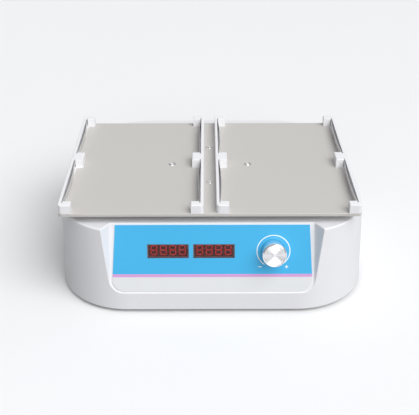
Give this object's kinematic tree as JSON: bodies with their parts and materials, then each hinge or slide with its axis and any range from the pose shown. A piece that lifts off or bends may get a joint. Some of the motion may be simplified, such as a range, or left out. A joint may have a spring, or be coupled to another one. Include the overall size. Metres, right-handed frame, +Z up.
{
  "type": "microplate shaker",
  "caption": "Orbital bench shaker with a flat tray of plate pockets, a recessed display panel and one push-and-turn knob.",
  "frame": {"origin": "on the bench under the middle of the housing, which is the bottom centre of the whole object's box", "axes": "+X to the right across the control panel, +Y from the panel to the rear, +Z up"},
  "size_m": [0.312, 0.2742, 0.1122],
  "materials": {
    "housing_shell": "fine moulded skin, satin light grey",
    "pan_coating": "satin powder coat",
    "foot_rubber": "matt moulded rubber",
    "zinc_screws": "bright zinc plate",
    "chassis_aluminium": "mill finish",
    "cast_aluminium": "as cast, machined seats",
    "motor_can": "zinc plated drawn can",
    "crank_steel": "turned and ground",
    "bearing_steel": "ground rings with metal shields",
    "tray_coating": "fine satin grey coat on aluminium sheet",
    "rail_plastic": "satin white moulding",
    "spring_strip": "bright spring strip",
    "overlay_film": "printed polyester sheet, fine texture",
    "window_filter": "dark red filter",
    "display_plastic": "black display body",
    "circuit_board": "green solder mask",
    "encoder_plastic": "black nylon",
    "nut_brass": "nickel plated",
    "knob_aluminium": "turned, bright bevel, spun face",
    "inlet_plastic": "black flame-retardant moulding",
    "rocker_plastic": "black gloss",
    "contact_brass": "nickel plated contacts",
    "ribbon_jacket": "grey ribbon",
    "lead_jacket": "black sleeve"
  },
  "bodies": {
    "base": {"housing": "housing_shell", "base_pan": "pan_coating", "rubber_feet": "foot_rubber", "foot_screws": "zinc_screws", "housing_screws": "zinc_screws", "chassis_plate": "chassis_aluminium", "chassis_standoffs": "chassis_aluminium", "chassis_screws": "zinc_screws", "motor_body": "motor_can", "motor_screws": "zinc_screws", "idler_blocks": "chassis_aluminium", "block_screws": "zinc_screws", "block_bearing_outers": "bearing_steel", "control_overlay": "overlay_film", "display_windows": "window_filter", "led_displays": "display_plastic", "display_board": "circuit_board", "display_board_screws": "zinc_screws", "encoder_body": "encoder_plastic", "encoder_nut": "nut_brass", "main_board": "circuit_board", "supply_board": "circuit_board", "board_spacers": "chassis_aluminium", "board_screws": "zinc_screws", "power_inlet": "inlet_plastic", "inlet_pins": "contact_brass", "inlet_screws": "zinc_screws", "switch_bezel": "inlet_plastic", "display_ribbon": "ribbon_jacket", "motor_lead": "lead_jacket", "mains_lead": "lead_jacket"},
    "crank": {"motor_shaft": "crank_steel", "drive_crank": "crank_steel", "counterweight": "crank_steel", "crank_set_screw": "zinc_screws", "main_bearing_inner": "bearing_steel"},
    "platform": {"tray_carrier": "cast_aluminium", "carrier_bearing_outers": "bearing_steel", "tray_plate": "tray_coating", "rail_left_outer": "rail_plastic", "rail_left_inner": "rail_plastic", "rail_right_inner": "rail_plastic", "rail_right_outer": "rail_plastic", "plate_springs": "spring_strip", "tray_screws": "zinc_screws", "rail_screws": "zinc_screws"},
    "idler_front_left": {"idler_crank_front_left": "crank_steel", "idler_bearings_front_left": "bearing_steel"},
    "idler_front_right": {"idler_crank_front_right": "crank_steel", "idler_bearings_front_right": "bearing_steel"},
    "idler_rear_left": {"idler_crank_rear_left": "crank_steel", "idler_bearings_rear_left": "bearing_steel"},
    "idler_rear_right": {"idler_crank_rear_right": "crank_steel", "idler_bearings_rear_right": "bearing_steel"},
    "encoder": {"encoder_rotor": "encoder_plastic"},
    "knob": {"encoder_shaft": "crank_steel", "knob": "knob_aluminium", "knob_set_screw": "zinc_screws"},
    "rocker": {"power_rocker": "rocker_plastic"}
  },
  "joints": [
    {"name": "crank_spin", "type": "hinge", "parent": "base", "child": "crank", "pos_m": [0, -0.0093, 0.06], "axis": [0, 0, 1], "continuous": true},
    {"name": "tray_orbit", "type": "hinge", "parent": "crank", "child": "platform", "pos_m": [-0.00225, -0.0093, 0.079], "axis": [0, 0, 1], "continuous": true},
    {"name": "idler_front_left_spin", "type": "hinge", "parent": "base", "child": "idler_front_left", "pos_m": [-0.08, -0.0573, 0.064], "axis": [0, 0, 1], "continuous": true},
    {"name": "idler_front_right_spin", "type": "hinge", "parent": "base", "child": "idler_front_right", "pos_m": [0.08, -0.0573, 0.064], "axis": [0, 0, 1], "continuous": true},
    {"name": "idler_rear_left_spin", "type": "hinge", "parent": "base", "child": "idler_rear_left", "pos_m": [-0.08, 0.0387, 0.064], "axis": [0, 0, 1], "continuous": true},
    {"name": "idler_rear_right_spin", "type": "hinge", "parent": "base", "child": "idler_rear_right", "pos_m": [0.08, 0.0387, 0.064], "axis": [0, 0, 1], "continuous": true},
    {"name": "knob_turn", "type": "hinge", "parent": "base", "child": "encoder", "pos_m": [0.0594, -0.11936, 0.06454], "axis": [0, -0.9668, 0.2554], "continuous": true},
    {"name": "knob_press", "type": "slide", "parent": "encoder", "child": "knob", "axis": [0, 0.9668, -0.2554], "range_m": [0, 0.0005], "stiffness_N_per_m": 4000, "springref_m": -0.0003},
    {"name": "power_switch", "type": "hinge", "parent": "base", "child": "rocker", "pos_m": [-0.006, 0.12757, 0.03986], "axis": [-1, 0, 0], "range_deg": [0, 20]}
  ],
  "couplings": [
    {"joint": "tray_orbit", "follows": "crank_spin", "ratio": -1},
    {"joint": "idler_front_left_spin", "follows": "crank_spin", "ratio": 1},
    {"joint": "idler_front_right_spin", "follows": "crank_spin", "ratio": 1},
    {"joint": "idler_rear_left_spin", "follows": "crank_spin", "ratio": 1},
    {"joint": "idler_rear_right_spin", "follows": "crank_spin", "ratio": 1}
  ]
}
